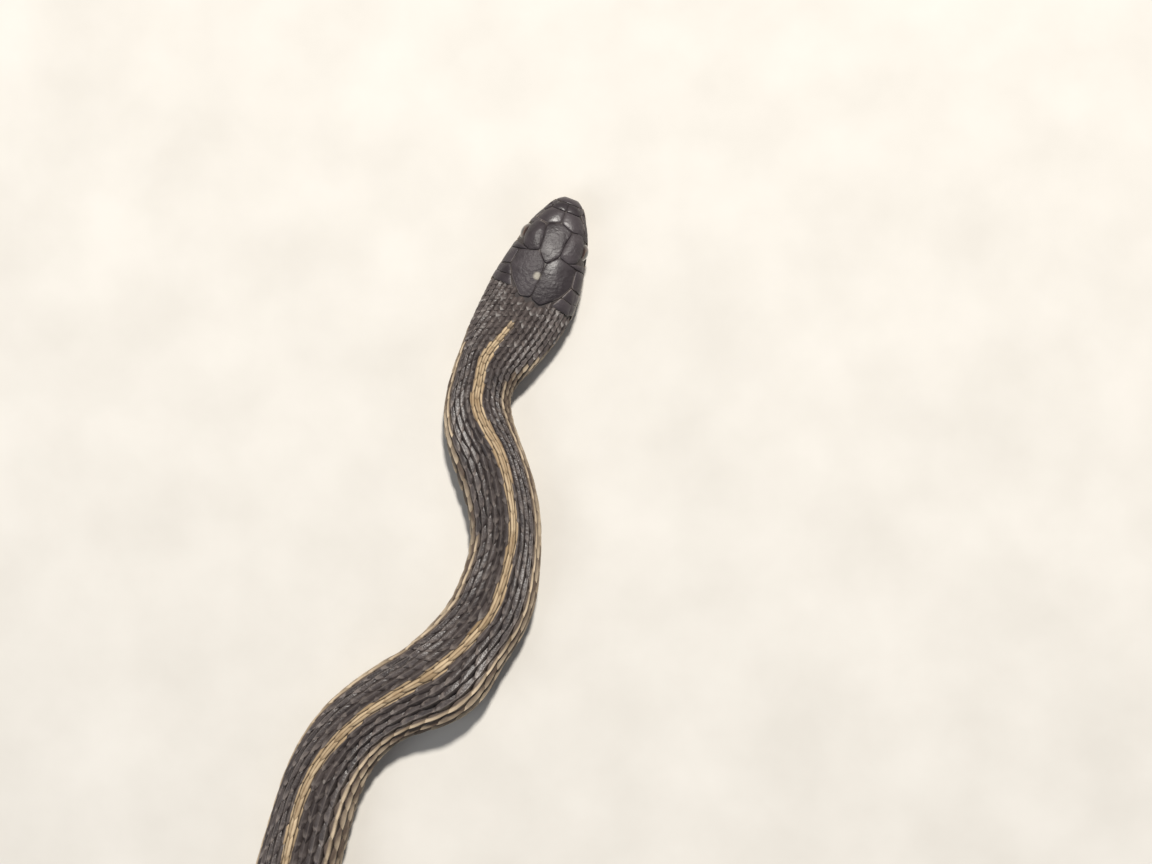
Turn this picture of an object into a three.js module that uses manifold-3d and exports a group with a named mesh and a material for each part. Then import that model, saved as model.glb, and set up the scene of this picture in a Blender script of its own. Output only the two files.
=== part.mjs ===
// A garter snake at life size, lying in wide bends on its belly, head resting and mouth closed.
// Millimetres, +Z up. The body is a loft along a route on the ground, parted into named lengths.
import * as THREE from 'three';
import { mergeVertices } from 'three/addons/utils/BufferGeometryUtils.js';
import Module from 'manifold-3d';

// Lengths along the animal, measured from the tip of the snout.
const headLength = 22;
const neckEnd = 60;
const ventAt = 505;
const tailTip = 660;
const trunkLengths = 6;
const nodeGap = 0.3;

// The route on the ground: where it starts, which way it points, and its bends.
// A heading of 0 degrees runs toward -Y, and positive bends turn the body toward +X.
const routeStart = { x: -0.7, y: 37.5, heading: -21 };
const bends = [
  { from: 10, length: 14, turn: -12 },
  { from: 27, length: 18, turn: 53 },
  { from: 46, length: 21, turn: -32 },
  { from: 64, length: 12, turn: -24 },
  { from: 79, length: 10, turn: -32 },
  { from: 86, length: 30, turn: 52 },
  { from: 122, length: 44, turn: 104 },
  { from: 212, length: 78, turn: -184 },
  { from: 340, length: 80, turn: 184 },
  { from: 474, length: 76, turn: -180 },
  { from: 590, length: 50, turn: 100 },
];
const routeStep = 0.25;

// Half-width at stations along the body, as [distance, half-width].
const halfWidths = [
  [0, 0.9], [0.9, 2.2], [3.2, 3.6], [5.6, 4.75], [8.8, 5.65], [12.8, 6.55], [17.6, 7.1], [21.6, 6.9],
  [26.7, 6.15], [30, 5.45], [34, 5.1], [40, 5.5], [47, 5.65], [60, 5.65], [68, 6.3], [76, 6.45],
  [83.5, 7.2], [90, 6.5], [96, 6.05], [117, 6.35], [250, 8.1], [400, 7.6], [ventAt, 5.5], [545, 4.5],
  [600, 2.9], [640, 1.45], [656, 0.7], [tailTip, 0.35],
];

// Crown and underside heights of the head, its widest level, and how boxy its section is.
const crownHeights = [
  [0, 3.9], [0.6, 4.9], [2, 5.9], [4.5, 6.9], [7.7, 7.9], [12, 8.7], [17, 9], [headLength, 8.8], [34, 8.6],
];
const undersides = [[0, 2.3], [0.8, 1.6], [2.4, 0.95], [5, 0.5], [9, 0.35], [17, 0.35], [headLength + 2, 0]];
const widestLevels = [[0, 3.1], [4, 3.5], [9, 3.8], [18, 4.1], [34, 4]];
const crownBoxiness = [[0, 2.2], [6, 2.7], [18, 2.5], [34, 2.05], [60, 2]];
const heightPerWidth = 1.66;
const widestShare = 0.46;
const bellyBoxiness = 3;
const bellySink = 1.14;

// Rings of the loft, and the belly scutes that each span a few rings.
const bodySides = 12;
const headSides = 26;
const headRing = 1.2;
const scute = { pitch: 6.6, ramp: 0.9, step: 0.35, depth: 0.3 };
const bellyCosine = -0.35;

// Plates of the head: how far they stand out, how deep they root, and the width of their sutures.
const plateLift = 0.18;
const plateRoot = 0.6;
const suture = 0.26;
const nostril = { at: 1.9, height: 4.3, radius: 0.42 };

// Corners of the crown's plates on the animal's left, as [distance, distance from the midline].
const crownPlates = {
  internasal: [[1.1, 0], [1.1, 1.2], [1.7, 2.2], [2.5, 2.3], [2.5, 0]],
  prefrontal: [[2.5, 0], [2.5, 2.3], [3.4, 3.2], [5, 3.9], [5.3, 2.2], [4.5, 0]],
  supraocular: [[5.3, 2.2], [5.1, 3.7], [6.4, 4.5], [8.2, 4.8], [9.8, 4.5], [10.3, 3.3], [9.8, 1.7], [7.5, 1.8]],
  parietal: [[9.8, 1.7], [10.3, 3.3], [10.6, 4.7], [13.4, 5.2], [15.6, 4.2], [17.9, 1.8], [17.4, 0], [11.6, 0]],
};
const frontal = [[4.5, 0], [5.3, 2.2], [7.5, 1.8], [9.8, 1.7], [11.6, 0], [9.8, -1.7], [7.5, -1.8], [5.3, -2.2]];

// Plates of the side of the head, as [first distance, last distance, lower height, upper height].
const sidePlates = [
  [1.15, 3.2, 3.75, 5.1], [3.2, 5, 3.8, 5.3], [5, 5.85, 3.6, 6.6], [9.65, 10.7, 3.7, 5.2], [9.65, 10.7, 5.2, 6.6],
  [10.7, 13.8, 5, 6.9], [13.8, 17, 4.6, 5.9], [13.8, 17, 5.9, 7.2],
];
const lips = { from: 0.9, to: 17.6, upperCount: 8, lowerCount: 9, lowerDepth: 1.3 };
const upperLipTops = [[0.9, 3.8], [4.5, 3.75], [6, 3.45], [9.5, 3.5], [11, 4.6], [14, 4.9], [17.6, 4.6]];
const chinShields = [[2.6, 5.6, 178, 150], [5.6, 9.6, 176, 152], [9.6, 14, 172, 146]];

// The line of the mouth, as [distance, height], and how far back the lower jaw reaches.
const mouthLine = [[-2, 2.9], [0, 2.9], [2, 2.65], [6, 2.45], [11, 2.4], [15, 2.85], [18, 3.6]];
const jawEnd = 18;
const headReach = 12;

// Eyes.
const eye = { at: 7.7, lateral: 4.35, height: 5, radius: 1.75, bulge: 1.35 };
const eyeMeshSides = 18;
const eyeMeshRows = 10;
const socketGap = 0.3;

const colours = {
  crown: 0x4a4548, jaw: 0x9c8f7c, flesh: 0x45403c, eye: 0x1a1210,
};

const wasm = await Module();
wasm.setup();

// A smooth value through [place, value] stations.
function through(stations) {
  const slopes = stations.map((station, i) => {
    const before = stations[Math.max(i - 1, 0)];
    const after = stations[Math.min(i + 1, stations.length - 1)];
    return (after[1] - before[1]) / (after[0] - before[0]);
  });
  return (place) => {
    const last = stations.length - 1;
    if (place <= stations[0][0]) return stations[0][1];
    if (place >= stations[last][0]) return stations[last][1];
    const i = stations.findIndex((station) => station[0] > place) - 1;
    const span = stations[i + 1][0] - stations[i][0];
    const t = (place - stations[i][0]) / span;
    const rise = t * t * (3 - 2 * t);
    const lead = t * (1 - t) * (1 - t) * slopes[i] * span;
    const trail = t * t * (1 - t) * slopes[i + 1] * span;
    return stations[i][1] * (1 - rise) + stations[i + 1][1] * rise + lead - trail;
  };
}

const halfWidth = through(halfWidths);
const headCrown = through(crownHeights);
const underside = through(undersides);
const headWidest = through(widestLevels);
const crownPower = through(crownBoxiness);
const mouthHeight = through(mouthLine);

function headingAt(distance) {
  let heading = routeStart.heading;
  for (const bend of bends) {
    heading += bend.turn * THREE.MathUtils.smoothstep(distance, bend.from, bend.from + bend.length);
  }
  return THREE.MathUtils.degToRad(heading);
}

// The route is walked once, and each place on it is read back between two steps.
const route = [new THREE.Vector2(routeStart.x, routeStart.y)];
for (let distance = 0; distance < tailTip + headReach; distance += routeStep) {
  const heading = headingAt(distance + routeStep / 2);
  const step = new THREE.Vector2(Math.sin(heading), -Math.cos(heading)).multiplyScalar(routeStep);
  route.push(route[route.length - 1].clone().add(step));
}

// A point at a distance along the route, to the animal's left of it, and above the ground.
function place(distance, left, height) {
  const heading = headingAt(distance);
  const onRoute = Math.max(distance, 0) / routeStep;
  const i = Math.floor(onRoute);
  const centre = route[i].clone().lerp(route[i + 1], onRoute - i);
  const before = Math.min(distance, 0);
  return new THREE.Vector3(
    centre.x + before * Math.sin(heading) - left * Math.cos(heading),
    centre.y - before * Math.cos(heading) - left * Math.sin(heading),
    height,
  );
}

// Head heights give way to the body's over the neck.
function sectionAt(distance) {
  const width = halfWidth(distance);
  const bodyTop = width * heightPerWidth;
  const toBody = THREE.MathUtils.smoothstep(distance, headLength, headLength + 14);
  return {
    width,
    top: THREE.MathUtils.lerp(headCrown(distance), bodyTop, toBody),
    bottom: underside(distance),
    widest: THREE.MathUtils.lerp(headWidest(distance), bodyTop * widestShare, toBody),
    power: crownPower(distance),
  };
}

// The section is an ellipse above its widest level, boxier below, and flat where it meets the ground.
// The angle is 0 along the back and grows toward the animal's left.
function surface(distance, angle, lift = 0) {
  const section = sectionAt(distance);
  const sine = Math.sin(angle);
  const cosine = Math.cos(angle);
  const power = cosine > 0 ? section.power : bellyBoxiness;
  const across = Math.sign(sine) * Math.abs(sine) ** (2 / power);
  const up = Math.abs(cosine) ** (2 / power);
  const rise = section.top - section.widest + lift;
  const drop = (section.widest - section.bottom) * bellySink + lift;
  const height = cosine > 0 ? section.widest + rise * up : section.widest - drop * up;
  return place(distance, across * (section.width + lift), Math.max(height, section.bottom - lift));
}

function closedGeometry(positions, triangles) {
  const geometry = new THREE.BufferGeometry();
  geometry.setAttribute('position', new THREE.Float32BufferAttribute(positions, 3));
  geometry.setIndex(triangles);
  return geometry;
}

// A closed loft through rings at the given distances, with a flat cap at each end.
// A ring with a groove is drawn in by that much along the belly.
function loft(rings, sides) {
  const distances = rings.map((ring) => ring.distance);
  const positions = [];
  const triangles = [];
  for (const ring of rings) {
    for (let side = 0; side < sides; side += 1) {
      const angle = (side / sides) * 2 * Math.PI;
      const groove = Math.cos(angle) < bellyCosine ? ring.groove : 0;
      positions.push(...surface(ring.distance, angle, -groove));
    }
  }
  const corner = (ring, side) => ring * sides + (side % sides);
  for (let ring = 0; ring + 1 < distances.length; ring += 1) {
    for (let side = 0; side < sides; side += 1) {
      triangles.push(corner(ring, side), corner(ring, side + 1), corner(ring + 1, side + 1));
      triangles.push(corner(ring, side), corner(ring + 1, side + 1), corner(ring + 1, side));
    }
  }
  const ends = [0, distances.length - 1];
  for (const ring of ends) {
    const section = sectionAt(distances[ring]);
    const centre = positions.length / 3;
    positions.push(...place(distances[ring], 0, section.widest));
    for (let side = 0; side < sides; side += 1) {
      const here = corner(ring, side);
      const next = corner(ring, side + 1);
      if (ring === 0) triangles.push(centre, next, here);
      else triangles.push(centre, here, next);
    }
  }
  return closedGeometry(positions, triangles);
}

function placesBetween(from, to, spacing) {
  const count = Math.max(1, Math.round((to - from) / spacing));
  return Array.from({ length: count + 1 }, (_, i) => from + ((to - from) * i) / count);
}

function plainRings(distances) {
  return distances.map((distance) => ({ distance, groove: 0 }));
}

// Each belly scute ramps down from the one before it, lies flat, and ends in a short step.
function scuteRings(from, to) {
  const starts = placesBetween(from, to, scute.pitch);
  const rings = [];
  for (let i = 0; i + 1 < starts.length; i += 1) {
    const shallow = Math.min(1, halfWidth(starts[i]) / 3);
    const depth = i === 0 ? 0 : scute.depth * shallow;
    rings.push({ distance: starts[i], groove: depth });
    rings.push({ distance: starts[i] + scute.ramp, groove: 0 });
    rings.push({ distance: starts[i + 1] - scute.step, groove: 0 });
  }
  rings.push({ distance: to, groove: 0 });
  return rings;
}

function toSolid(geometry) {
  const bare = geometry.clone();
  bare.deleteAttribute('normal');
  bare.deleteAttribute('uv');
  const merged = mergeVertices(bare, 1e-4);
  return new wasm.Manifold(new wasm.Mesh({
    numProp: 3,
    vertProperties: new Float32Array(merged.attributes.position.array),
    triVerts: new Uint32Array(merged.index.array),
  }));
}

// The largest closed surface of a solid, as a geometry.
function toGeometry(solid) {
  const pieces = solid.decompose();
  const sizes = pieces.map((piece) => piece.volume());
  const mesh = pieces[sizes.indexOf(Math.max(...sizes))].getMesh();
  return closedGeometry(Array.from(mesh.vertProperties), Array.from(mesh.triVerts));
}

// Everything under the line of the mouth, from in front of the snout to the end of the jaw.
function jawZone(gap) {
  const outline = new THREE.Shape();
  const stations = placesBetween(-2, jawEnd + gap, 1.5);
  outline.moveTo(-2, -2);
  outline.lineTo(jawEnd + gap, -2);
  for (const distance of [...stations].reverse()) {
    outline.lineTo(distance, mouthHeight(distance) + gap);
  }
  outline.closePath();
  const block = new THREE.ExtrudeGeometry(outline, { depth: 2 * headReach, bevelEnabled: false });
  const points = block.attributes.position;
  for (let i = 0; i < points.count; i += 1) {
    const point = place(points.getX(i), points.getZ(i) - headReach, points.getY(i));
    points.setXYZ(i, point.x, point.y, point.z);
  }
  return toSolid(block);
}

// An eyeball, a little flattened against the head. Side is 1 for the animal's left.
function eyeball(side, grow) {
  const ball = new THREE.SphereGeometry(eye.radius + grow, eyeMeshSides, eyeMeshRows);
  ball.scale((eye.bulge + grow) / (eye.radius + grow), 1, 1);
  ball.rotateZ(headingAt(eye.at));
  const centre = place(eye.at, side * eye.lateral, eye.height);
  return ball.translate(centre.x, centre.y, centre.z);
}

function sockets() {
  return toSolid(eyeball(1, socketGap)).add(toSolid(eyeball(-1, socketGap)));
}

// The angle round the section at which the surface is this far from the midline, or this high.
function angleAcross(distance, left) {
  const { width, power } = sectionAt(distance);
  const share = Math.min(Math.abs(left) / width, 0.995);
  return Math.sign(left) * Math.asin(share ** (power / 2));
}

function angleUp(distance, height) {
  const section = sectionAt(distance);
  if (height >= section.widest) {
    const share = Math.min((height - section.widest) / (section.top - section.widest), 1);
    return Math.acos(share ** (section.power / 2));
  }
  const share = Math.min((section.widest - height) / ((section.widest - section.bottom) * bellySink), 1);
  return Math.PI - Math.acos(share ** (bellyBoxiness / 2));
}

// A plate over the head's surface: a closed slab whose outline is given by corners of
// [distance, angle], drawn in by half a suture, with its root sunk into the head.
function plate(corners, pieces) {
  const outline = corners.flatMap((corner, i) => {
    const next = corners[(i + 1) % corners.length];
    return Array.from({ length: pieces }, (_, k) => [
      THREE.MathUtils.lerp(corner[0], next[0], k / pieces),
      THREE.MathUtils.lerp(corner[1], next[1], k / pieces),
    ]);
  });
  const centre = [0, 1].map((axis) => corners.reduce((sum, corner) => sum + corner[axis], 0) / corners.length);
  const arm = halfWidth(centre[0]);
  const toward = (corner, share) => {
    const reach = Math.hypot(corner[0] - centre[0], (corner[1] - centre[1]) * arm);
    const kept = share * Math.max(1 - suture / 2 / reach, 0.3);
    return [THREE.MathUtils.lerp(centre[0], corner[0], kept), THREE.MathUtils.lerp(centre[1], corner[1], kept)];
  };
  const positions = [];
  const layers = [[0.55, plateLift], [1, plateLift], [1, -plateRoot]];
  for (const [share, lift] of layers) {
    for (const corner of outline) positions.push(...surface(...toward(corner, share), lift));
  }
  const count = outline.length;
  const top = positions.length / 3;
  positions.push(...surface(...centre, plateLift), ...surface(...centre, -plateRoot));
  const triangles = [];
  for (let i = 0; i < count; i += 1) {
    const next = (i + 1) % count;
    triangles.push(top, i, next);
    for (const ring of [0, count]) {
      triangles.push(ring + i, ring + count + i, ring + count + next);
      triangles.push(ring + i, ring + count + next, ring + next);
    }
    triangles.push(top + 1, 2 * count + next, 2 * count + i);
  }
  return outwardSolid(closedGeometry(positions, triangles), triangles);
}

// The corners may run either way round, so a slab that came out inside out is turned.
function outwardSolid(geometry, triangles) {
  const point = (i) => new THREE.Vector3().fromBufferAttribute(geometry.attributes.position, i);
  let volume = 0;
  for (let i = 0; i < triangles.length; i += 3) {
    volume += point(triangles[i]).dot(point(triangles[i + 1]).cross(point(triangles[i + 2])));
  }
  if (volume < 0) geometry.setIndex([...triangles].reverse());
  return toSolid(geometry);
}

function crownSolids() {
  const solids = [plate(frontal.map(([at, left]) => [at, angleAcross(at, left)]), 2)];
  for (const corners of Object.values(crownPlates)) {
    for (const side of [1, -1]) {
      solids.push(plate(corners.map(([at, left]) => [at, side * angleAcross(at, left)]), 2));
    }
  }
  return solids;
}

// A four-cornered plate between two distances, its upper and lower edges given as heights.
function sidePlate(side, from, to, lower, upper) {
  const corner = (at, heightAt) => [at, side * angleUp(at, heightAt(at))];
  return plate([corner(from, lower), corner(to, lower), corner(to, upper), corner(from, upper)], 2);
}

function lipSolids(side) {
  const upperTop = through(upperLipTops);
  const solids = [];
  const rows = [
    { count: lips.upperCount, lower: (at) => mouthHeight(at), upper: upperTop },
    { count: lips.lowerCount, lower: (at) => mouthHeight(at) - lips.lowerDepth, upper: mouthHeight },
  ];
  for (const row of rows) {
    const edges = placesBetween(lips.from, lips.to, (lips.to - lips.from) / row.count);
    for (let i = 0; i < row.count; i += 1) {
      solids.push(sidePlate(side, edges[i], edges[i + 1], row.lower, row.upper));
    }
  }
  return solids;
}

function headPlates() {
  const solids = crownSolids();
  for (const side of [1, -1]) {
    solids.push(...lipSolids(side));
    for (const [from, to, lower, upper] of sidePlates) {
      solids.push(sidePlate(side, from, to, () => lower, () => upper));
    }
    for (const [from, to, inner, outer] of chinShields) {
      const angles = [inner, outer].map((degrees) => side * THREE.MathUtils.degToRad(degrees));
      solids.push(plate([[from, angles[0]], [to, angles[0]], [to, angles[1]], [from, angles[1]]], 2));
    }
  }
  return solids;
}

function nostrilPits() {
  return [1, -1].map((side) => {
    const pit = new THREE.SphereGeometry(nostril.radius, 12, 8);
    const centre = surface(nostril.at, side * angleUp(nostril.at, nostril.height), plateLift);
    return toSolid(pit.translate(centre.x, centre.y, centre.z));
  });
}

const frontRings = [0, 0.3, 0.9, 1.8];
const headRings = plainRings([...frontRings, ...placesBetween(2.8, headLength - nodeGap, headRing)]);
const wholeHead = wasm.Manifold.union([toSolid(loft(headRings, headSides)), ...headPlates()]);

function headGeometry() {
  const cuts = [jawZone(nodeGap), sockets(), ...nostrilPits()];
  return toGeometry(cuts.reduce((solid, cut) => solid.subtract(cut), wholeHead));
}

function jawGeometry() {
  return toGeometry(wholeHead.intersect(jawZone(0)));
}

const snake = new THREE.Group();

function addPart(name, geometry, colour, roughness) {
  geometry.computeVertexNormals();
  const material = new THREE.MeshStandardMaterial({ color: colour, roughness, metalness: 0 });
  const mesh = new THREE.Mesh(geometry, material);
  mesh.name = name;
  snake.add(mesh);
}

addPart('head', headGeometry(), colours.crown, 0.45);
addPart('lower_jaw', jawGeometry(), colours.jaw, 0.5);
addPart('eye_left', eyeball(1, 0), colours.eye, 0.1);
addPart('eye_right', eyeball(-1, 0), colours.eye, 0.1);
addPart('neck', loft(scuteRings(headLength, neckEnd - nodeGap), bodySides), colours.flesh, 0.55);

const trunkSpan = (ventAt - neckEnd) / trunkLengths;
for (let i = 0; i < trunkLengths; i += 1) {
  const from = neckEnd + i * trunkSpan;
  const rings = scuteRings(from, from + trunkSpan - nodeGap);
  addPart(`trunk_${i + 1}`, loft(rings, bodySides), colours.flesh, 0.55);
}

const tailMiddle = (ventAt + tailTip) / 2;
addPart('tail_1', loft(scuteRings(ventAt, tailMiddle - nodeGap), bodySides), colours.flesh, 0.55);
addPart('tail_2', loft(scuteRings(tailMiddle, tailTip), bodySides), colours.flesh, 0.55);

// The origin is on the ground, under the middle of the whole animal.
const extent = new THREE.Box3().setFromObject(snake);
const middle = extent.getCenter(new THREE.Vector3());
snake.position.set(-middle.x, -middle.y, -extent.min.z);

export default snake;
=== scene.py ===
import math

import bpy
import numpy as np
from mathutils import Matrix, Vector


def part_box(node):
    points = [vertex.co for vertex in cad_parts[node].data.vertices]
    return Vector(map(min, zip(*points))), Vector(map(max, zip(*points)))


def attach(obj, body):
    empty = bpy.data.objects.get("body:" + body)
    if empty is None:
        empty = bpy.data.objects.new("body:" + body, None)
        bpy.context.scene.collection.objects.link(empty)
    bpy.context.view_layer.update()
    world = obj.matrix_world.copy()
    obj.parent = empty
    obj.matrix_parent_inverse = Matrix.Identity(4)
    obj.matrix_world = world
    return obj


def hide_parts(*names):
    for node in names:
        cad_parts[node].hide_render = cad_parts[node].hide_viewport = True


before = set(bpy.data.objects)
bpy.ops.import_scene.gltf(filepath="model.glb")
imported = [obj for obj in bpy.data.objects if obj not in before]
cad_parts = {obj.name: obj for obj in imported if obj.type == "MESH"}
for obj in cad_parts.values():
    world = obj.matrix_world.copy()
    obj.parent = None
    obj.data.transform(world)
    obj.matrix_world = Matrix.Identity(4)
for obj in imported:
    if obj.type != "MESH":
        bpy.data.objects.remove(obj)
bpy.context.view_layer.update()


# The eyes: each lies under a clear fixed scale that shines as one smooth dome, with a round black pupil,
# a thin red-brown ring and a dark iris. Each is a ball flattened against the head, turned up a little and
# set where the head's solid has its eye, and the hide and the plates close round it.
MM = 0.001
EYE = {"at": 7.7, "left": 4.35, "height": 5.0, "radius": 1.75, "inset": 0.1, "bulge": 1.35, "tilt": 16.0}
EYE_COLOURS = [
    (0.0, (0.004, 0.003, 0.003)), (0.50, (0.006, 0.004, 0.004)), (0.54, (0.13, 0.065, 0.034)),
    (0.59, (0.055, 0.027, 0.018)), (0.74, (0.032, 0.017, 0.012)), (1.0, (0.012, 0.008, 0.007)),
]
COAT_ROUGHNESS = 0.2
RELIEF_HEIGHT = 0.2

# The whole animal lies along one route on the ground, and every piece is placed by it. Distances run in
# millimetres from the tip of the snout. The route starts at an x, a y and a heading in degrees, of which
# 0 runs toward -Y, and each bend is its start, its length and its turn.
TAIL_TIP = 660.0
ROUTE_START = (-0.7, 37.5, -21.0)
BENDS = [
    (10, 14, -12), (27, 18, 53), (46, 21, -32), (64, 12, -24), (79, 10, -32), (86, 30, 52),
    (122, 44, 104), (212, 78, -184), (340, 80, 184), (474, 76, -180), (590, 50, 100),
]
WALK_STEP = 0.25
WALK_PAST_TAIL = 12


def smooth_step(value, start, end):
    t = np.clip((value - start) / (end - start), 0, 1)
    return t * t * (3 - 2 * t)


def heading(distance):
    total = np.full_like(np.asarray(distance, float), ROUTE_START[2])
    for start, length, turn in BENDS:
        total = total + turn * smooth_step(distance, start, start + length)
    return np.radians(total)


walk = np.arange(0, TAIL_TIP + WALK_PAST_TAIL, WALK_STEP)
walk_heading = heading(walk + WALK_STEP / 2)
walk_x = ROUTE_START[0] + np.concatenate(([0], np.cumsum(np.sin(walk_heading) * WALK_STEP)))[:-1]
walk_y = ROUTE_START[1] - np.concatenate(([0], np.cumsum(np.cos(walk_heading) * WALK_STEP)))[:-1]


def place(distance, left, height):
    """Points by their distance along the route, to the animal's left of it, and above the ground."""
    turn = heading(distance)
    before = np.minimum(distance, 0)
    x = np.interp(distance, walk, walk_x) + before * np.sin(turn) - left * np.cos(turn)
    y = np.interp(distance, walk, walk_y) - before * np.cos(turn) - left * np.sin(turn)
    return np.stack(np.broadcast_arrays(x, y, height), axis=-1)


def eye_centre(side):
    return place(EYE["at"], side * EYE["left"], EYE["height"])


# The route's own zero goes where it brings the left eye onto the eye of the solids.
eye_low, eye_high = (np.array(corner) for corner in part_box("eye_left"))
shift = (eye_low + eye_high) / 2 / MM - eye_centre(1)
shift[2] = 0.0


def to_world(points):
    return (np.asarray(points).reshape(-1, 3) + shift) * MM


class Wire:
    """An output of a shader node. Sums and products of wires add Math nodes, and every other node comes
    from the one method that takes its type, its settings and its sockets."""

    def __init__(self, tree, socket=None):
        self.tree = tree
        self.socket = socket

    def node(self, kind, settings=None, sockets=None, output=0):
        made = self.tree.nodes.new(kind)
        for name, value in (settings or {}).items():
            if name == "stops":
                ramp = made.color_ramp
                while len(ramp.elements) < len(value):
                    ramp.elements.new(0.5)
                for element, (position, colour) in zip(ramp.elements, value):
                    element.position = position
                    element.color = (*colour, 1.0)
            else:
                setattr(made, name, value)
        for name, value in (sockets or {}).items():
            if isinstance(value, Wire):
                self.tree.links.new(value.socket, made.inputs[name])
            else:
                made.inputs[name].default_value = value
        return Wire(self.tree, made.outputs[output])

    def sum(self, operation, first, second):
        return self.node("ShaderNodeMath", {"operation": operation}, {0: first, 1: second})

    def __add__(self, other):
        return self.sum("ADD", self, other)

    def __sub__(self, other):
        return self.sum("SUBTRACT", self, other)

    def __mul__(self, other):
        return self.sum("MULTIPLY", self, other)

    def __rsub__(self, other):
        return self.sum("SUBTRACT", other, self)

    __radd__ = __add__
    __rmul__ = __mul__

    def blend(self, first, second):
        """Two colours mixed by this wire. The Mix node's colours are its sockets 6 and 7."""
        first, second = (c if isinstance(c, Wire) else (*c, 1.0) for c in (first, second))
        return self.node("ShaderNodeMix", {"data_type": "RGBA"}, {0: self, 6: first, 7: second}, 2)

    def stretch(self, low, high):
        """This value with low turned to 0 and high to 1, and kept between them."""
        span = {"From Min": low, "From Max": high, "Value": self}
        return self.node("ShaderNodeMapRange", {"clamp": True}, span)


def new_material(name, finish, roughness, relief_strength=0.0, specular=0.5, coat=0.0):
    """A material whose finish gives its colour, its share of the roughness and the height of its relief."""
    material = bpy.data.materials.new(name)
    material.use_nodes = True
    tree = material.node_tree
    tree.nodes.clear()
    start = Wire(tree)
    colour, rough, relief = finish(start)
    sockets = {
        "Base Color": colour, "Roughness": rough * roughness, "Specular IOR Level": specular,
        "Coat Weight": coat, "Coat Roughness": COAT_ROUGHNESS,
    }
    if relief:
        bump = {"Strength": relief_strength, "Distance": RELIEF_HEIGHT * MM, "Height": relief}
        sockets["Normal"] = start.node("ShaderNodeBump", {}, bump)
    shader = start.node("ShaderNodeBsdfPrincipled", {}, sockets)
    out = tree.nodes.new("ShaderNodeOutputMaterial")
    tree.links.new(shader.socket, out.inputs["Surface"])
    return material


def objects_place(start):
    return start.node("ShaderNodeTexCoord", output="Object")


def grain(start, scale, detail):
    sockets = {"Vector": objects_place(start), "Scale": scale, "Detail": detail}
    return start.node("ShaderNodeTexNoise", {}, sockets)


def attribute(start, name):
    return start.node("ShaderNodeAttribute", {"attribute_name": name}, output="Fac")


def open_mesh():
    """Into edit mode, with the whole mesh selected."""
    bpy.ops.object.mode_set(mode="EDIT")
    bpy.ops.mesh.select_all(action="SELECT")


def close_mesh():
    """Out of edit mode, with every face turned outwards."""
    bpy.ops.mesh.select_mode(type="VERT")
    bpy.ops.mesh.select_all(action="SELECT")
    bpy.ops.mesh.normals_make_consistent(inside=False)
    bpy.ops.object.mode_set(mode="OBJECT")


def model_eye(name, side):
    bpy.ops.object.select_all(action="DESELECT")
    bpy.ops.mesh.primitive_uv_sphere_add(segments=48, ring_count=32, radius=1.0)
    ball = bpy.context.active_object
    ball.name = name
    unit = np.array([vertex.co[:] for vertex in ball.data.vertices])
    turn = heading(np.array(EYE["at"]))
    tilt = math.radians(EYE["tilt"])
    outward = side * np.array([-math.cos(turn), -math.sin(turn), 0.0])
    outward = outward * math.cos(tilt) + np.array([0.0, 0.0, math.sin(tilt)])
    onward = np.array([math.sin(turn), -math.cos(turn), 0.0])
    upward = np.cross(outward, onward)
    points = eye_centre(side) + unit[:, 2:3] * outward * EYE["bulge"]
    points = points + (unit[:, 0:1] * onward + unit[:, 1:2] * upward) * (EYE["radius"] - EYE["inset"])
    ball.data.vertices.foreach_set("co", to_world(points).ravel())
    gaze = ball.data.attributes.new("gaze", "FLOAT", "POINT")
    gaze.data.foreach_set("value", np.hypot(unit[:, 0], unit[:, 1]).astype(np.float32))
    open_mesh()
    close_mesh()
    bpy.ops.object.shade_smooth()
    return ball


def eye_finish(start):
    gaze = attribute(start, "gaze") + grain(start, 900.0, 3.0) * 0.04
    colour = start.node("ShaderNodeValToRGB", {"stops": EYE_COLOURS}, {"Fac": gaze})
    return colour, 1.0, None


eye_gloss = new_material("eye_gloss", eye_finish, roughness=0.08, specular=0.6, coat=1.0)
for name, side in (("eye_left", 1), ("eye_right", -1)):
    ball = model_eye(name + "_ball", side)
    ball.data.materials.append(eye_gloss)
    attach(ball, "root")
    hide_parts(name)


# The hide under the scales: one soft skin from the snout to the tip of the tail, dark on the back and
# flecked with cream on the flanks. It is an unrolled grid wrapped round the body, drawn in by the depth
# of the scales, with the closed line of the mouth, the nostrils and the eyes' hollows pressed in.
VENT = 505.0
HEAD_LENGTH = 22.0
NAPE_LENGTH = 14

# The body's section, as stations of a distance and a value: half its width, the heights of its crown and
# of its underside, the height at which it is widest, and how square its upper half is.
HALF_WIDTHS = [
    (0, 0.9), (0.9, 2.2), (3.2, 3.6), (5.6, 4.75), (8.8, 5.65), (12.8, 6.55), (17.6, 7.1), (21.6, 6.9),
    (26.7, 6.15), (30, 5.45), (34, 5.1), (40, 5.5), (47, 5.65), (60, 5.65), (68, 6.3), (76, 6.45),
    (83.5, 7.2), (90, 6.5), (96, 6.05), (117, 6.35), (250, 8.1), (400, 7.6), (VENT, 5.5), (545, 4.5),
    (600, 2.9), (640, 1.45), (656, 0.7), (TAIL_TIP, 0.35),
]
CROWN_HEIGHTS = [
    (0, 3.9), (0.6, 4.9), (2, 5.9), (4.5, 6.9), (7.7, 7.9), (12, 8.7), (17, 9), (HEAD_LENGTH, 8.8),
    (34, 8.6),
]
UNDERSIDES = [(0, 2.3), (0.8, 1.6), (2.4, 0.95), (5, 0.5), (9, 0.35), (17, 0.35), (24, 0)]
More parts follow.
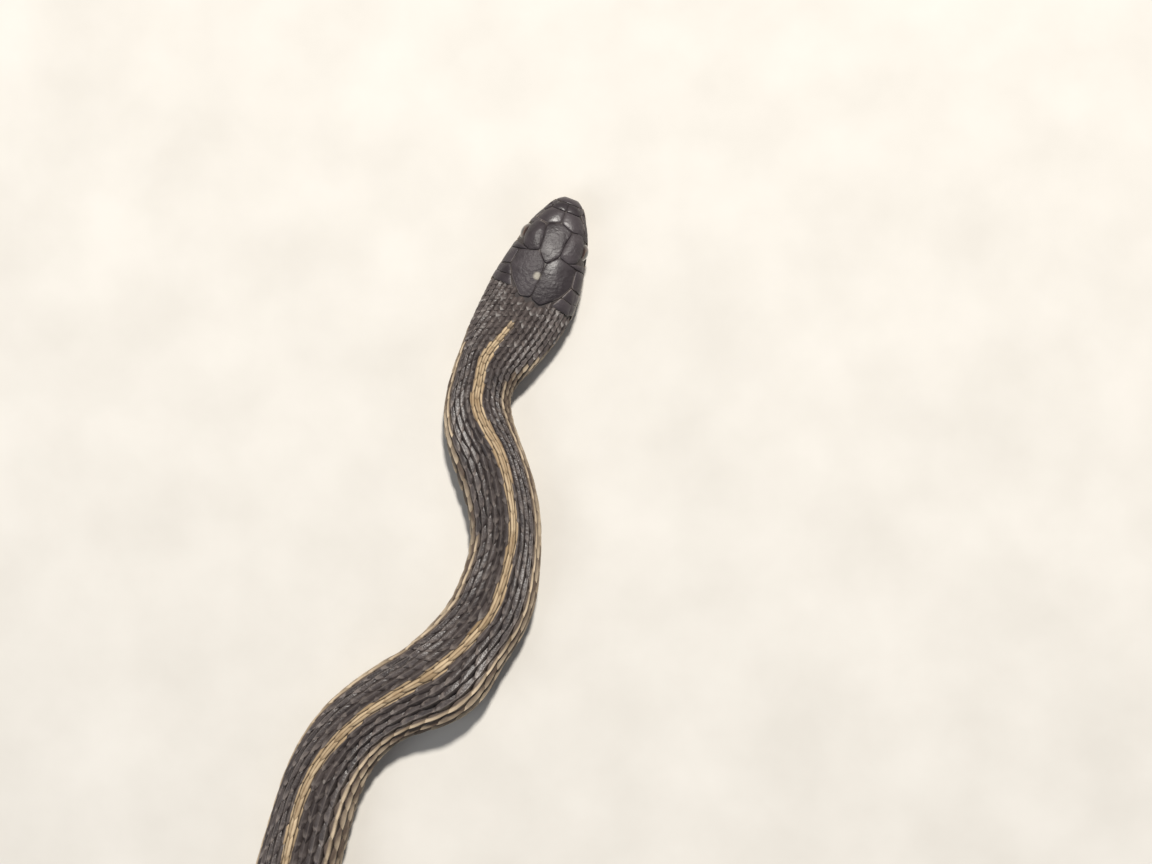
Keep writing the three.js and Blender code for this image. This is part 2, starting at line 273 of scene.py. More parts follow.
WIDEST_LEVELS = [(0, 3.1), (4, 3.5), (9, 3.8), (18, 4.1), (34, 4)]
CROWN_BOXINESS = [(0, 2.2), (6, 2.7), (18, 2.5), (34, 2.05), (60, 2)]
HEIGHT_PER_WIDTH = 1.66
WIDEST_SHARE = 0.46
BELLY_BOXINESS = 3.0
BELLY_SINK = 1.14
GIRTH_STEPS = 240

HIDE_DEPTH = 0.30
HEAD_HIDE_DEPTH = 0.06
HEAD_HIDE_END = (16.0, 19.0)
FULL_DEPTH_HALF_WIDTH = 2.5
HIDE_AROUND = 96
MERGE_DISTANCE = 0.005
MOUTH_LINE = [(-2, 2.9), (0, 2.9), (2, 2.65), (6, 2.45), (11, 2.4), (15, 2.85), (18, 3.6)]
MOUTH_END = 17.6
MOUTH_FADE = 1.5
MOUTH_DEPTH = 0.45
MOUTH_WIDTH = 0.16
NOSTRIL = {"at": 2.05, "height": 4.5, "rim": 0.48, "floor": 0.22, "depth": 0.75}
SOCKET = {"rim": 1.80, "floor": 1.30, "depth": 1.3}
DARK_BACK_EDGE = (0.40, 0.28)
CREAM_FLECK = (0.36, 0.29, 0.19)
FLANK_SKIN = (0.030, 0.024, 0.021)
BACK_SKIN = (0.036, 0.028, 0.026)
THROAT_SKIN = (0.33, 0.27, 0.19)


def through(stations, places):
    """A smooth curve through stations, read at many places."""
    at, value = np.array(stations, float).T
    slope = np.empty_like(value)
    slope[1:-1] = (value[2:] - value[:-2]) / (at[2:] - at[:-2])
    slope[0] = (value[1] - value[0]) / (at[1] - at[0])
    slope[-1] = (value[-1] - value[-2]) / (at[-1] - at[-2])
    places = np.clip(np.asarray(places, float), at[0], at[-1])
    i = np.clip(np.searchsorted(at, places, side="right") - 1, 0, len(at) - 2)
    span = at[i + 1] - at[i]
    t = (places - at[i]) / span
    rise = t * t * (3 - 2 * t)
    lead = t * (1 - t) ** 2 * slope[i] * span
    trail = t * t * (1 - t) * slope[i + 1] * span
    return value[i] * (1 - rise) + value[i + 1] * rise + lead - trail


def section(distance):
    """Half the width, the heights of top, bottom and widest level, and the squareness at a distance."""
    width = through(HALF_WIDTHS, distance)
    to_body = smooth_step(distance, HEAD_LENGTH, HEAD_LENGTH + NAPE_LENGTH)
    body_top = width * HEIGHT_PER_WIDTH
    top = through(CROWN_HEIGHTS, distance) * (1 - to_body) + body_top * to_body
    widest = through(WIDEST_LEVELS, distance) * (1 - to_body) + body_top * WIDEST_SHARE * to_body
    return width, top, through(UNDERSIDES, distance), widest, through(CROWN_BOXINESS, distance)


def outline(distance, angle):
    """The bare section: distance from the midline and height, at an angle that is 0 along the back."""
    width, top, bottom, widest, power = section(distance)
    cosine = np.cos(angle)
    upper = cosine > 0
    power = np.where(upper, power, BELLY_BOXINESS)
    left = width * np.sign(np.sin(angle)) * np.abs(np.sin(angle)) ** (2 / power)
    up = np.abs(cosine) ** (2 / power)
    height = np.where(upper, widest + (top - widest) * up, widest - (widest - bottom) * BELLY_SINK * up)
    return left, np.maximum(height, bottom)


# A table turns a length round the section, from the midline of the back, into an angle. Its places lie
# closer along the head than along the body.
girth_places = np.concatenate((np.arange(0, 30, 0.25), np.arange(30, TAIL_TIP + 1, 2)))
girth_angles = np.linspace(0, math.pi, GIRTH_STEPS + 1)
girth_left, girth_height = outline(girth_places[:, None], girth_angles[None, :])
girth_pieces = np.hypot(np.diff(girth_left, axis=1), np.diff(girth_height, axis=1))
girth = np.concatenate((np.zeros((len(girth_places), 1)), np.cumsum(girth_pieces, axis=1)), axis=1)
girth_shares = np.linspace(0, 1, GIRTH_STEPS + 1)
angle_of_share = np.array([np.interp(girth_shares, row / row[-1], girth_angles) for row in girth])


def half_girth(distance):
    return np.interp(distance, girth_places, girth[:, -1])


def angle_round(distance, length):
    """The angle at a signed length round the section, positive to the animal's left."""
    share = np.clip(np.abs(length) / half_girth(distance), 0, 1) * GIRTH_STEPS
    row = np.interp(distance, girth_places, np.arange(len(girth_places)))
    i = np.minimum(row.astype(int), len(girth_places) - 2)
    j = np.minimum(share.astype(int), GIRTH_STEPS - 1)
    past_i = row - i
    past_j = share - j
    near = angle_of_share[i, j] * (1 - past_j) + angle_of_share[i, j + 1] * past_j
    far = angle_of_share[i + 1, j] * (1 - past_j) + angle_of_share[i + 1, j + 1] * past_j
    return np.sign(length) * (near * (1 - past_i) + far * past_i)


def on_surface(distance, angle, lift):
    """Points on the solids' surface, moved out along its normal by a lift. The normal is square to a
    small step along the body and a small step round it."""
    step, turn = 0.2, 0.02
    distance, angle, lift = np.broadcast_arrays(*[np.asarray(v, float) for v in (distance, angle, lift)])

    def bare(at, angle_there):
        left, height = outline(at, angle_there)
        return place(at, left, height)

    along = bare(distance + step, angle) - bare(distance - step, angle)
    around = bare(distance, angle + turn) - bare(distance, angle - turn)
    normal = np.cross(around, along)
    normal /= np.linalg.norm(normal, axis=-1, keepdims=True) + 1e-9
    return bare(distance, angle) + normal * lift[..., None]


def angle_up(distance, height):
    """The angle at which the side of the head is this high."""
    width, top, bottom, widest, power = section(distance)
    upper = np.clip((height - widest) / (top - widest), 0, 1) ** (power / 2)
    lower = np.clip((widest - height) / ((widest - bottom) * BELLY_SINK), 0, 1) ** (BELLY_BOXINESS / 2)
    return np.where(height >= widest, np.arccos(upper), math.pi - np.arccos(lower))


def nostril_depth(points):
    depth = 0
    for side in (1, -1):
        spot = on_surface(NOSTRIL["at"], side * angle_up(np.array(NOSTRIL["at"]), NOSTRIL["height"]), 0.0)
        away = np.linalg.norm(points - spot, axis=-1)
        depth = depth + NOSTRIL["depth"] * smooth_step(away, NOSTRIL["rim"], NOSTRIL["floor"])
    return depth


def press_mouth_and_sockets(distance, points, lift):
    """Draws in the line of the mouth, the nostrils and the rim of each eye."""
    lift = lift - nostril_depth(points)
    groove = np.exp(-((points[..., 2] - through(MOUTH_LINE, distance)) / MOUTH_WIDTH) ** 2)
    lift = lift - MOUTH_DEPTH * groove * smooth_step(distance, MOUTH_END, MOUTH_END - MOUTH_FADE)
    for side in (1, -1):
        away = np.linalg.norm(points - eye_centre(side), axis=-1)
        lift = lift - SOCKET["depth"] * smooth_step(away, SOCKET["rim"], SOCKET["floor"])
    return lift


# The rings of the hide's grid lie closer together where its shape changes faster.
hide_places = np.concatenate((
    [0.02, 0.1], np.arange(0.25, HEAD_LENGTH, 0.25), np.arange(HEAD_LENGTH, 60, 0.8),
    np.arange(60, VENT, 1.6), np.arange(VENT, TAIL_TIP - 2, 1.2), [TAIL_TIP - 1, TAIL_TIP - 0.1],
))
bpy.ops.object.select_all(action="DESELECT")
bpy.ops.mesh.primitive_grid_add(x_subdivisions=HIDE_AROUND, y_subdivisions=len(hide_places) - 1, size=2)
hide = bpy.context.active_object
hide.name = "hide"
sheet = np.array([vertex.co[:] for vertex in hide.data.vertices])
hide_row = np.rint((sheet[:, 1] + 1) / 2 * (len(hide_places) - 1)).astype(int)
hide_distance = hide_places[hide_row]
hide_length = -sheet[:, 0] * half_girth(hide_distance)
hide_angle = angle_round(hide_distance, hide_length)
head_share = 1 - smooth_step(hide_distance, *HEAD_HIDE_END)
hide_depth = HEAD_HIDE_DEPTH * head_share + HIDE_DEPTH * (1 - head_share)
hide_depth *= np.minimum(1, through(HALF_WIDTHS, hide_distance) / FULL_DEPTH_HALF_WIDTH)
hide_bare = on_surface(hide_distance, hide_angle, 0.0)
hide_lift = press_mouth_and_sockets(hide_distance, hide_bare, -hide_depth)
hide_points = on_surface(hide_distance, hide_angle, hide_lift)
hide.data.vertices.foreach_set("co", to_world(hide_points).ravel())
below_mouth = smooth_step(through(MOUTH_LINE, hide_distance) - hide_bare[:, 2], -0.1, 0.1)
on_back = smooth_step(np.abs(hide_length) / half_girth(hide_distance), *DARK_BACK_EDGE) * (1 - head_share)
crown = head_share * (1 - below_mouth) + on_back
for name, values in (("crown", crown), ("throat", head_share * below_mouth)):
    region = hide.data.attributes.new(name, "FLOAT", "POINT")
    region.data.foreach_set("value", values.astype(np.float32))


def cap_open_ends():
    """A face over each loop of open edges."""
    bpy.ops.mesh.select_all(action="DESELECT")
    bpy.ops.mesh.select_mode(type="EDGE")
    bpy.ops.mesh.select_non_manifold()
    bpy.ops.mesh.edge_face_add()


# The grid's two long edges meet under the belly and are merged, and its two ends are closed.
open_mesh()
bpy.ops.mesh.remove_doubles(threshold=MERGE_DISTANCE * MM)
cap_open_ends()
close_mesh()
bpy.ops.object.shade_smooth()


def hide_finish(start):
    cells = start.node("ShaderNodeTexVoronoi", {"feature": "F1"}, {
        "Vector": objects_place(start), "Scale": 900.0,
    })
    patch = grain(start, 330.0, 2.0)
    flecks = (patch + cells * 0.35).stretch(0.52, 0.66)
    colour = flecks.blend(CREAM_FLECK, FLANK_SKIN)
    colour = attribute(start, "crown").blend(colour, BACK_SKIN)
    colour = attribute(start, "throat").blend(colour, THROAT_SKIN)
    return colour, cells * 0.2 + 0.8, cells + patch * 0.5


hide.data.materials.append(new_material("soft_hide", hide_finish, roughness=0.62, relief_strength=0.5))
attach(hide, "root")
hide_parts("head", "lower_jaw", "neck", *[f"trunk_{i}" for i in range(1, 7)], "tail_1", "tail_2")


# The scales of the back and sides: small horny leaves in lengthwise rows, each with a keel along its
# middle, rooted in the hide and lapping over the next. One scale is modelled and copied to every place
# of a lattice in which neighbouring rows stand half a scale apart.
SCALE_SPREAD = 0.66
SCALE_REACH = 1.48
ROOT_SHARE = 0.42
KEEL = 0.15
DROOP = 0.12
EDGE_BOW = 0.03
LEAF_THICKNESS = 0.11
LEAF_COLUMNS = [-1, -0.22, 0, 0.22, 1]
LEAF_ROWS = [0, 0.30, 0.54, 0.76, 0.90, 1.0]
LEAF_WIDTHS = [0.80, 1.0, 0.98, 0.76, 0.42, 0.03]
LEAF_RISES = [-0.22, -0.14, -0.07, 0.0, 0.04, 0.03]
HEIGHT_PER_PITCH = 0.8
JITTER = {"width": 0.05, "reach": 0.03, "place": 0.06, "lift": 0.03}

# The lattice, as stations of a distance and a value: the length from scale to scale, the number of rows
# round the body, and the share of the half girth at which the rows end and the belly scutes begin.
PITCHES = [
    (14, 1.0), (18, 1.05), (24, 1.25), (30, 1.6), (38, 2.3), (48, 2.9), (60, 3.2), (VENT, 3.3), (560, 2.5),
    (620, 1.8), (TAIL_TIP, 1.1),
]
ROW_COUNTS = [
    (14, 35), (20, 33), (28, 25), (40, 19), (440, 19), (480, 17), (VENT, 15), (520, 11), (560, 9),
    (610, 7), (645, 5), (TAIL_TIP, 5),
]
EDGE_SHARES = [
    (14, 0.99), (20, 0.97), (28, 0.80), (42, 0.68), (450, 0.66), (VENT, 0.66), (TAIL_TIP, 0.68),
]
HALF_ROWS = 17
ROW_SLACK = 0.15
WIDER_BELOW = 0.22
LATTICE_START = 10
LATTICE_STEP = 0.1
LAST_SCALE = TAIL_TIP - 1.5

# The first scales behind the head's plates, as a length round the body and a distance.
SCALE_STARTS = [(0, 18.2), (2, 18.2), (4.6, 16.0), (6, 17.0), (10, 17.3), (12, 17.9), (17, 18)]

# The stripe of the back sways to the animal's left and right, starts behind the head and is wide on the
# nape. The pale of the sides begins at a share of the half girth, higher on the right.
STRIPE_OFFSETS = [
    (14, 0.2), (22, 0.5), (29, 1.1), (33, 0.3), (36, 0), (40, -1.1), (45, -2.2), (52, -1.7), (58, -1.3),
    (66, -0.5), (72, -0.2), (77, 0.4), (84, 1.6), (94, 0.9), (103, 1.3), (113, 2.3), (120, 2.1), (135, 0.8),
    (150, 0), (TAIL_TIP, 0),
]
STRIPE_START = 19.5
STRIPE_FULL = 26
STRIPE_EDGE_LAG = 2
WIDE_STRIPE_END = (56, 36)
PALE_LINE = [(14, 0.62), (20, 0.58), (25, 0.48), (30, 0.36), (36, 0.31), (TAIL_TIP, 0.31)]
PALE_LINE_BLUR = 0.015
RIGHT_LINE_RISE = 0.10
# Painted highlight: near the head the scales' tint is raised, so the nape's scales are painted lighter and
# their tip flecks painted as glints.
NAPE_PAINTED_GLINT = 0.5
NAPE_PAINTED_GLINT_END = (36, 22)
DARK_COLOURS = [(0.032, 0.025, 0.024), (0.082, 0.066, 0.061)]
# The dark scales' keel colour is paler partly from wear and partly as a painted sheen along the ridge.
KEEL_WEAR_AND_SHEEN = (0.17, 0.142, 0.128)
DARK_EDGE = (0.040, 0.031, 0.029)
# The colours of the tip flecks: a worn grey, and a bright painted glint for the scales with the highest tint.
WEAR_AND_GLINT_COLOURS = [(0.22, 0.185, 0.165), (0.46, 0.43, 0.40)]
TAN_COLOURS = [(0.33, 0.235, 0.135), (0.58, 0.45, 0.29)]
TAN_KEEL = (0.19, 0.12, 0.065)
TAN_EDGE = (0.085, 0.058, 0.040)
SIDE_STRIPE_COLOURS = [(0.15, 0.11, 0.07), (0.54, 0.43, 0.30)]
SIDE_STRIPE_EDGE = (0.085, 0.062, 0.048)
LOW_COLOURS = [(0.095, 0.068, 0.050), (0.46, 0.37, 0.26)]
LOW_EDGE = (0.060, 0.042, 0.032)

# The bake's unwrap is cut into strips laid side by side, with a patch for each scale.
STRIPS = 6
STRIP_MARGIN = 0.01
STRIP_SPAN = 0.97
ACROSS_MARGIN = 0.08
ACROSS_SPAN = 0.84
PATCH_ACROSS = 0.80
PATCHES_ALONG = 230

fine = np.arange(LATTICE_START, TAIL_TIP, LATTICE_STEP)
scale_count = np.concatenate(([0], np.cumsum(LATTICE_STEP / through(PITCHES, fine))))[:-1]
draw = np.random.default_rng(11)


def row_length(distance, row):
    """The length round the body from the middle of the back to a row. The stripe's sway, a roll of the
    body, fades towards the belly, and sooner on the right, where the skin is stretched."""
    edge = half_girth(distance) * through(EDGE_SHARES, distance)
    share = np.abs(row) * 2 / through(ROW_COUNTS, distance)
    share = (1 - WIDER_BELOW) * share + WIDER_BELOW * share ** 3
    held = np.clip(share, 0, 1) ** (4 if row > 0 else 1)
    return np.sign(row) * edge * share + through(STRIPE_OFFSETS, distance) * (1 - held)


def taken_apart(form):
    """The points and faces of a modelled form, which itself is removed."""
    points = np.array([vertex.co[:] for vertex in form.data.vertices])
    faces = [tuple(face.vertices) for face in form.data.polygons]
    bpy.data.objects.remove(form)
    return points, faces


def model_scale():
    """One scale, a closed leaf from its root at y = 0 to its tip at y = 1, and -1 to 1 wide."""
    bpy.ops.object.select_all(action="DESELECT")
    bpy.ops.mesh.primitive_grid_add(x_subdivisions=4, y_subdivisions=5, size=2)
    leaf = bpy.context.active_object
    for vertex in leaf.data.vertices:
        across = LEAF_COLUMNS[round((vertex.co.x + 1) / 2 * 4)]
        j = round((vertex.co.y + 1) / 2 * 5)
        keel = KEEL * (1 - abs(across)) ** 5 * math.sin(math.pi * min(1, LEAF_ROWS[j] * 0.85 + 0.14))
        droop = DROOP * abs(across) ** 1.8
        height = LEAF_RISES[j] - droop + keel
        vertex.co = (across * LEAF_WIDTHS[j], LEAF_ROWS[j] - EDGE_BOW * abs(across), height)
    open_mesh()
    bpy.ops.mesh.extrude_region_move(TRANSFORM_OT_translate={"value": (0, 0, -LEAF_THICKNESS)})
    bpy.ops.mesh.dissolve_faces()
    close_mesh()
    return taken_apart(leaf)


def copies_mesh(name, faces, points, local, tints, roots, patch, paleness=None, ridge=()):
    """Many copies of one form as one mesh, with their own unwrap, bake patches and tint. Edges between
    points of the ridge stay sharp."""
    count, each = points.shape[:2]
    loops = np.concatenate([np.array(face) for face in faces])
    sizes = np.tile([len(face) for face in faces], count)
    corners = (loops[None, :] + np.arange(count)[:, None] * each).ravel()
    mesh = bpy.data.meshes.new(name)
    mesh.vertices.add(count * each)
    mesh.vertices.foreach_set("co", to_world(points).ravel())
    mesh.loops.add(len(corners))
    mesh.loops.foreach_set("vertex_index", corners.astype(np.int32))
    mesh.polygons.add(len(sizes))
    mesh.polygons.foreach_set("loop_start", np.concatenate(([0], np.cumsum(sizes)[:-1])).astype(np.int32))
    mesh.update(calc_edges=True)
    mesh.validate()
    own = mesh.uv_layers.new(name="Own")
    local = np.broadcast_to(local, (count, each, 2))[:, loops]
    own.data.foreach_set("uv", local.ravel())
    bake = mesh.uv_layers.new(name="OFBake")
    spread = roots[:, None, :] + (local - 0.5) * patch
    bake.data.foreach_set("uv", spread.reshape(-1, 2).ravel())
    bake.active = True
    marks = {"tint": tints} if paleness is None else {"tint": tints, "pale": paleness}
    for mark, values in marks.items():
        kept = mesh.attributes.new(mark, "FLOAT", "POINT")
        kept.data.foreach_set("value", np.repeat(values, each).astype(np.float32))
    mesh.shade_smooth()
    ends = np.empty(len(mesh.edges) * 2, int)
    mesh.edges.foreach_get("vertices", ends)
    creased = np.isin(ends % each, ridge).reshape(-1, 2).all(axis=1)
    mesh.attributes.new("sharp_edge", "BOOLEAN", "EDGE").data.foreach_set("value", creased)
    made = bpy.data.objects.new(name, mesh)
    bpy.context.collection.objects.link(made)
    return made


def strip_roots(distance, share):
    """Places on the bake's unwrap, by the distance along the body and the share across a strip."""
    along = np.clip((distance - LATTICE_START) / (TAIL_TIP - LATTICE_START), 0, 0.9999) * STRIPS
    strip = np.floor(along)
    across = (strip + ACROSS_MARGIN + ACROSS_SPAN * share) / STRIPS
    return np.stack((STRIP_MARGIN + STRIP_SPAN * (along - strip), across), axis=-1)


leaf_points, leaf_faces = model_scale()
leaf_local = np.stack(((leaf_points[:, 0] + 1) / 2, leaf_points[:, 1]), axis=-1)
leaf_mirrored = np.stack((1 - leaf_local[:, 0], leaf_local[:, 1]), axis=-1)
leaf_ridge = np.flatnonzero(np.abs(leaf_points[:, 0]) < 0.001)


def paleness_of(row, centre, length_round):
    """How pale each scale of a row is: below a line on the sides, and past the nape on the stripe."""
    if abs(row) < 2:
        lag = STRIPE_EDGE_LAG * abs(row)
        behind_head = smooth_step(centre, STRIPE_START + lag, STRIPE_FULL + lag)
        return behind_head * (1 + abs(row) * smooth_step(centre, *WIDE_STRIPE_END))
    below_line = length_round / half_girth(centre) - through(PALE_LINE, centre)
    below_line = below_line + (RIGHT_LINE_RISE if row < 0 else 0)
    return smooth_step(below_line, -PALE_LINE_BLUR, PALE_LINE_BLUR)


def lay_scales(name, rows):
    """The scales of some rows as one piece."""
    points, tints, roots, paleness, unwraps = [], [], [], [], []
    for place_in_piece, row in enumerate(rows):
        numbers = np.arange(0, int(scale_count[-1]) + 1) + 0.5 * (row % 2)
        centre = np.interp(numbers, scale_count, fine)
        length_round = np.abs(row_length(centre, row))
        keep = (centre > through(SCALE_STARTS, length_round)) & (centre < LAST_SCALE)
        keep &= np.abs(row) <= through(ROW_COUNTS, centre) / 2 + ROW_SLACK
        centre = centre[keep]
        length_round = length_round[keep]
        count = len(centre)
        pitch = through(PITCHES, centre)
        spacing = row_length(centre, row + 0.5) - row_length(centre, row - 0.5)
        size = np.minimum(spacing, pitch * HEIGHT_PER_PITCH)
        wide = SCALE_SPREAD * spacing * draw.uniform(1 - JITTER["width"], 1 + JITTER["width"], count)
        reach = SCALE_REACH * pitch * draw.uniform(1 - JITTER["reach"], 1 + JITTER["reach"], count)
        along = centre[:, None] + (leaf_points[None, :, 1] - ROOT_SHARE) * reach[:, None]
        along = along + draw.uniform(-JITTER["place"], JITTER["place"], (count, 1)) * pitch[:, None]
        around = row_length(along, row) + leaf_points[None, :, 0] * wide[:, None]
        lift = leaf_points[None, :, 2] * size[:, None]
        lift = lift + draw.uniform(-JITTER["lift"], JITTER["lift"], (count, 1))
        points.append(on_surface(along, angle_round(along, around), lift))
        # The raised tint near the head paints the nape lighter and its tip flecks as glints, standing in for
        # the sheen of light there.
        tints.append(draw.uniform(0, 1, count) + NAPE_PAINTED_GLINT * smooth_step(centre, *NAPE_PAINTED_GLINT_END))
        paleness.append(paleness_of(row, centre, length_round))
        unwraps.append(np.broadcast_to(leaf_mirrored if row < 0 else leaf_local, (count, *leaf_local.shape)))
        roots.append(strip_roots(centre, np.full(count, (place_in_piece + 0.5) / len(rows))))
    patch = np.array([STRIP_SPAN * STRIPS / PATCHES_ALONG, PATCH_ACROSS / STRIPS / len(rows)])
    every = np.concatenate(points)
    every[..., 2] = np.maximum(every[..., 2], 0.0)
    piece = copies_mesh(name, leaf_faces, every, np.concatenate(unwraps), np.concatenate(tints),
                        np.concatenate(roots), patch, np.concatenate(paleness), leaf_ridge)
    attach(piece, "root")
    return piece


def own_unwrap(start, way):
    """The way over a form's own unwrap, X across it and Y from its root to its tip."""
    unwrap = start.node("ShaderNodeUVMap", {"uv_map": "Own"})
    return start.node("ShaderNodeSeparateXYZ", {}, {"Vector": unwrap}, way)


def dark_horn(start, side, along, tint, mottle):
    """Brown-black, with a dark edge, a keel pale from wear and painted sheen, and tip flecks of wear and
    painted glint, most on the nape.
    """
    dark = (mottle * 0.5 + tint * 0.5).stretch(0.25, 0.95)
    colour = dark.blend(*DARK_COLOURS)
    # Painted highlight in part: the keel is painted paler, for its wear and for the sheen of light along it.
    keel = (side + mottle * 0.2).stretch(0.26, 0.08)
    colour = (keel * 0.5).blend(colour, KEEL_WEAR_AND_SHEEN)
    colour = side.stretch(0.84, 1.0).blend(colour, DARK_EDGE)
    # Painted glint in part: worn flecks near the tips get a bright colour where the tint is high, most on the
    # nape.
    glint = tint.stretch(0.8, 1.3).blend(*WEAR_AND_GLINT_COLOURS)
    wear_and_glint = (along + side * 0.2).stretch(0.62, 0.92) * grain(start, 900.0, 2.0).stretch(0.46, 0.58)
    return (wear_and_glint * 0.75).blend(colour, glint)


def tan_horn(side, along, tint, mottle):
    """The stripe of the back: tan, with a brown keel and edge."""
    warm = (mottle * 0.6 + tint * 0.4).stretch(0.25, 0.75)
    colour = warm.blend(*TAN_COLOURS)
    keel = (side + mottle * 0.25).stretch(0.38, 0.14)
    colour = (keel * 0.85).blend(colour, TAN_KEEL)
    rim = (side + mottle * 0.5 + along * 0.1).stretch(0.84, 1.10)
    return rim.blend(colour, TAN_EDGE)


def side_stripe_horn(side, along, tint, mottle):
    """The stripe of the side: a tan tip on each scale, broken by broad brown edges."""
    warm = (mottle * 0.5 + tint * 0.2 + along * 0.5).stretch(0.35, 0.85)
    colour = warm.blend(*SIDE_STRIPE_COLOURS)
    rim = (side + mottle * 0.6 - along * 0.2).stretch(0.42, 0.66)
    return rim.blend(colour, SIDE_STRIPE_EDGE)


def low_horn(side, along, tint, mottle):
    """The lowest rows: brown at the root and tan at the tip, with a dark edge."""
    mixed = (mottle * 0.7 + tint * 0.3 + along * 0.4 - side * 0.3).stretch(0.55, 0.95)
    colour = mixed.blend(*LOW_COLOURS)
    rim = (side + mottle * 0.4).stretch(0.80, 1.05)
    return rim.blend(colour, LOW_EDGE)


def scale_material(name, mottle_scale, pale_horn=None, half_pale=False,
                   roughness=0.46, relief_strength=0.30, specular=0.4):
    """Dark horn, and a paler horn on the scales that are marked as pale, or on the half of them that lies
    beside the stripe of the back, on some more than on others."""

    def finish(start):
        across = own_unwrap(start, "X")
        along = own_unwrap(start, "Y")
        side = start.node("ShaderNodeMath", {"operation": "ABSOLUTE"}, {0: across - 0.5}) * 2.0
        tint = attribute(start, "tint")
        mottle = grain(start, mottle_scale, 4.0)
        colour = dark_horn(start, side, along, tint, mottle)
        if pale_horn:
            marked = attribute(start, "pale")
            pale = (marked + mottle * 0.5).stretch(0.5, 0.9)
            if half_pale:
                wide = marked.stretch(1.0, 2.0)
                inside = across + mottle * 0.3 + tint * 0.35 + along * 0.15 - wide * 0.30
                pale = pale * inside.stretch(0.74, 0.62)
            colour = pale.blend(colour, pale_horn(side, along, tint, mottle))
        return colour, mottle * 0.3 + 0.8, grain(start, 3200.0, 3.0)

    return new_material(name, finish, roughness, relief_strength, specular)


dark_scales = scale_material("dark_scales", 420.0, roughness=0.40, relief_strength=0.4, specular=0.5)
tan_scales = scale_material("tan_scales", 500.0, tan_horn, roughness=0.48)
edge_scales = scale_material("stripe_edge_scales", 460.0, tan_horn, half_pale=True)
side_scales = scale_material("side_stripe_scales", 380.0, side_stripe_horn)
low_scales = scale_material("low_scales", 300.0, low_horn, roughness=0.48)
for name, rows, horn in (
    ("scales_back_stripe", (0,), tan_scales),
    ("scales_stripe_edge_left", (1,), edge_scales),
    ("scales_stripe_edge_right", (-1,), edge_scales),
    ("scales_back_left", (2, 3), dark_scales),
    ("scales_back_right", (-2, -3), dark_scales),
    ("scales_flank_left", (4, 5), dark_scales),
    ("scales_flank_right", (-4,), dark_scales),
    ("scales_side_stripe_left", (6,), side_scales),
    ("scales_side_stripe_right", (-5,), side_scales),
    ("scales_low_left", tuple(range(7, HALF_ROWS + 1)), low_scales),
    ("scales_low_right", tuple(range(-HALF_ROWS, -5)), low_scales),
):
    coat = lay_scales(name, rows)
    coat.data.materials.append(horn)


# The belly scutes: one broad horny plate after another under the body, each lapping over the next, with
# its ends turned up under the lowest scales. They are smooth, pale grey and tan, and the animal rests on
# them. One strip is modelled and copied to every place, one to each scale of the back.
SCUTE_START = 23.0
SCUTE_AROUND = 20
SCUTE_REACH = 1.3
SCUTE_ROOT_SHARE = 0.4
SCUTE_TUCK = 0.05
SCUTE_THICKNESS = 0.12
SCUTE_ROWS = [0, 0.45, 0.9, 1.0]
SCUTE_RISES = [-0.27, -0.12, 0.0, -0.02]
FULL_SCUTE_HALF_WIDTH = 4
SCUTE_COLOURS = [(0.24, 0.235, 0.215), (0.46, 0.42, 0.33)]
SCUTE_EDGE = (0.10, 0.09, 0.08)


def model_scute():
    """One scute, a closed strip from -1 to 1 across, rooted at y = 0 and free at y = 1."""
    bpy.ops.object.select_all(action="DESELECT")
    bpy.ops.mesh.primitive_grid_add(x_subdivisions=SCUTE_AROUND, y_subdivisions=3, size=2)
    strip = bpy.context.active_object
    for vertex in strip.data.vertices:
        j = round((vertex.co.y + 1) / 2 * 3)
        taper = 1 - abs(vertex.co.x) ** 6
        onward = SCUTE_ROWS[j] * (0.86 + 0.14 * taper)
        vertex.co = (vertex.co.x, onward, SCUTE_RISES[j] - 0.05 * (1 - taper))
    open_mesh()
    bpy.ops.mesh.extrude_region_move(TRANSFORM_OT_translate={"value": (0, 0, -SCUTE_THICKNESS)})
    close_mesh()
    return taken_apart(strip)


def scute_finish(start):
    along = own_unwrap(start, "Y")
    mottle = grain(start, 260.0, 4.0)
    grey = (mottle * 0.7 + attribute(start, "tint") * 0.3).stretch(0.3, 0.75)
    colour = grey.blend(*SCUTE_COLOURS)
    edge = along.stretch(0.86, 1.0)
    colour = (edge * 0.6).blend(colour, SCUTE_EDGE)
    return colour, mottle * 0.2 + 0.85, mottle


scute_points, scute_faces = model_scute()
scute_local = np.stack(((scute_points[:, 0] + 1) / 2, scute_points[:, 1]), axis=-1)
scute_centre = np.interp(np.arange(0, int(scale_count[-1]) + 1), scale_count, fine)
scute_centre = scute_centre[(scute_centre > SCUTE_START) & (scute_centre < LAST_SCALE)]
scute_reach = SCUTE_REACH * through(PITCHES, scute_centre)
scute_along = scute_centre[:, None] + (scute_points[None, :, 1] - SCUTE_ROOT_SHARE) * scute_reach[:, None]
scute_edge = through(EDGE_SHARES, scute_along) - SCUTE_TUCK
scute_round = half_girth(scute_along) * (1 - (1 - scute_edge) * np.abs(scute_points[None, :, 0]))
scute_side = np.where(scute_points[:, 0] < 0, -1.0, 1.0)[None, :]
scute_height = np.minimum(1, through(HALF_WIDTHS, scute_centre) / FULL_SCUTE_HALF_WIDTH)
scute_lift = scute_points[None, :, 2] * scute_height[:, None]
scute_all = on_surface(scute_along, angle_round(scute_along, scute_side * scute_round), scute_lift)
scute_all[..., 2] = np.maximum(scute_all[..., 2], 0.0)
